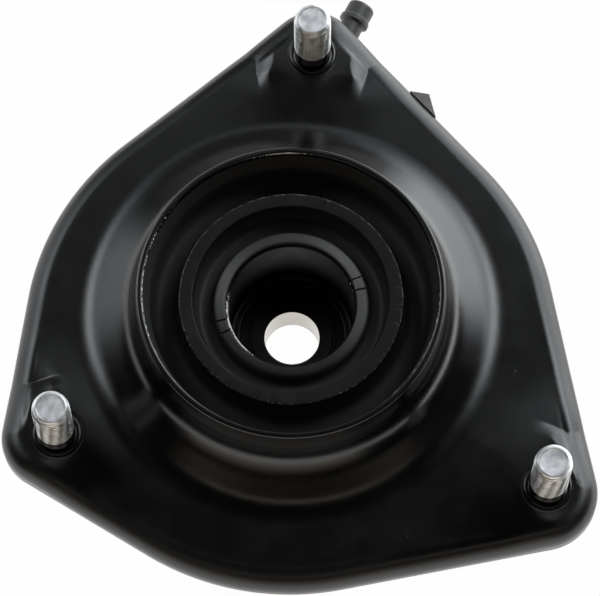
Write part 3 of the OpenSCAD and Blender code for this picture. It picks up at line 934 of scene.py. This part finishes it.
def floor_material():
    """White from above, with a pool of light on its right in reflections; clear from below."""
    material, nodes, links, shader = new_material("floor")
    shader.inputs["Base Color"].default_value = (0.8, 0.8, 0.8, 1)
    shader.inputs["Roughness"].default_value = 0.9
    path = nodes.new("ShaderNodeLightPath")
    camera = path.outputs["Is Camera Ray"]
    seen = arithmetic(nodes, links, "MAXIMUM", camera, path.outputs["Is Glossy Ray"])
    seen = arithmetic(nodes, links, "MAXIMUM", seen, path.outputs["Is Transmission Ray"])
    share = arithmetic(nodes, links, "MULTIPLY", seen, FLOOR_GLOW)
    place = nodes.new("ShaderNodeNewGeometry")
    toward = nodes.new("ShaderNodeVectorMath")
    toward.operation = "DOT_PRODUCT"
    toward.inputs[1].default_value = (*direction(POOL_AZIMUTH), 0)
    links.new(place.outputs["Position"], toward.inputs[0])
    pool = nodes.new("ShaderNodeMapRange")
    pool.interpolation_type = "SMOOTHSTEP"
    pool.inputs["From Min"].default_value = POOL_REACH[0]
    pool.inputs["From Max"].default_value = POOL_REACH[1]
    pool.inputs["To Min"].default_value = POOL_GLOW[0]
    pool.inputs["To Max"].default_value = POOL_GLOW[1]
    links.new(toward.outputs["Value"], pool.inputs["Value"])
    mirrored = arithmetic(nodes, links, "SUBTRACT", 1.0, camera)
    mirrored = arithmetic(nodes, links, "MULTIPLY", mirrored, pool.outputs["Result"])
    glow = nodes.new("ShaderNodeEmission")
    links.new(arithmetic(nodes, links, "ADD", camera, mirrored), glow.inputs["Strength"])
    mix = nodes.new("ShaderNodeMixShader")
    links.new(share, mix.inputs["Fac"])
    links.new(shader.outputs["BSDF"], mix.inputs[1])
    links.new(glow.outputs["Emission"], mix.inputs[2])
    clear = nodes.new("ShaderNodeBsdfTransparent")
    sides = nodes.new("ShaderNodeMixShader")
    links.new(place.outputs["Backfacing"], sides.inputs["Fac"])
    links.new(mix.outputs["Shader"], sides.inputs[1])
    links.new(clear.outputs["BSDF"], sides.inputs[2])
    links.new(sides.outputs["Shader"], nodes["Material Output"].inputs["Surface"])
    return material


def build_studio():
    """The floor, and the panels: azimuth, elevation, size, glow, colour and feather of each."""
    half = FLOOR_HALF
    level = FLANGE_LOW * MM - FLOOR_GAP
    corners = [(-half, -half, level), (half, -half, level), (half, half, level), (-half, half, level)]
    floor = add_object("floor", quad_mesh("floor", corners, floor_material()))
    softbox("right_box", 43, 29, (1.3, 1.81), 4.4, COOL, (0.25, 0.02, 0.6))
    softbox("right_high", 35, 52, (0.95, 0.5), 4.7, COOL, (0.45, 0.45, 0.45))
    softbox("left_box", 148, 28, (1.0, 1.6), 1.6, COOL, (0.35, 0.02, 0.35))
    softbox("left_high", 143, 52, (0.85, 0.5), 4.3, COOL, (0.45, 0.45, 0.45))
    softbox("back_box", 96, 36, (1.6, 2.16), 0.16, COOL, (0.25, 0.02, 0.3))
    softbox("back_top", 76, 60, (1.1, 0.42), 0.5, COOL, (0.25, 0.35, 0.7))
    softbox("front_box", 260, 17, (2.4, 1.12), 1.2, WARM, (0.15, 0.02, 1.0))
    softbox("upper_box", 272, 55, (2.3, 0.3), 0.75, WARM, (0.25, 0.45, 0.45))
    build_world()


def build_world():
    """White to the eye and almost dark to the object."""
    world = bpy.data.worlds.new("studio")
    bpy.context.scene.world = world
    world.use_nodes = True
    nodes = world.node_tree.nodes
    links = world.node_tree.links
    path = nodes.new("ShaderNodeLightPath")
    backdrop = nodes["Background"]
    backdrop.inputs["Color"].default_value = (1, 1, 1, 1)
    level = arithmetic(nodes, links, "MAXIMUM", path.outputs["Is Camera Ray"], AMBIENT)
    links.new(level, backdrop.inputs["Strength"])


def build_camera():
    """The photograph's camera: above the plate, leaning over from the lower edge of the picture."""
    forward = Vector((0, math.sin(CAMERA_TILT), -math.cos(CAMERA_TILT)))
    right = Vector((1, 0, 0))
    up = right.cross(forward)
    side = math.cos(CAMERA_ROLL) * right + math.sin(CAMERA_ROLL) * up
    top = -math.sin(CAMERA_ROLL) * right + math.cos(CAMERA_ROLL) * up
    place = (Vector(CAMERA_TARGET) - forward * CAMERA_DISTANCE) * MM
    data = bpy.data.cameras.new("camera")
    data.sensor_fit = "HORIZONTAL"
    data.sensor_width = 36.0
    data.lens = FOCAL_PX / PHOTO_W * data.sensor_width
    data.clip_start = 0.01
    camera = add_object("camera", data)
    camera.matrix_world = Matrix((
        (side.x, top.x, -forward.x, place.x),
        (side.y, top.y, -forward.y, place.y),
        (side.z, top.z, -forward.z, place.z),
        (0, 0, 0, 1)))
    bpy.context.scene.camera = camera


build_plate()
build_studs()
build_rubber()
build_sleeve()
dress_cad_nodes()
build_studio()
build_camera()
bpy.context.scene.view_settings.view_transform = "Standard"
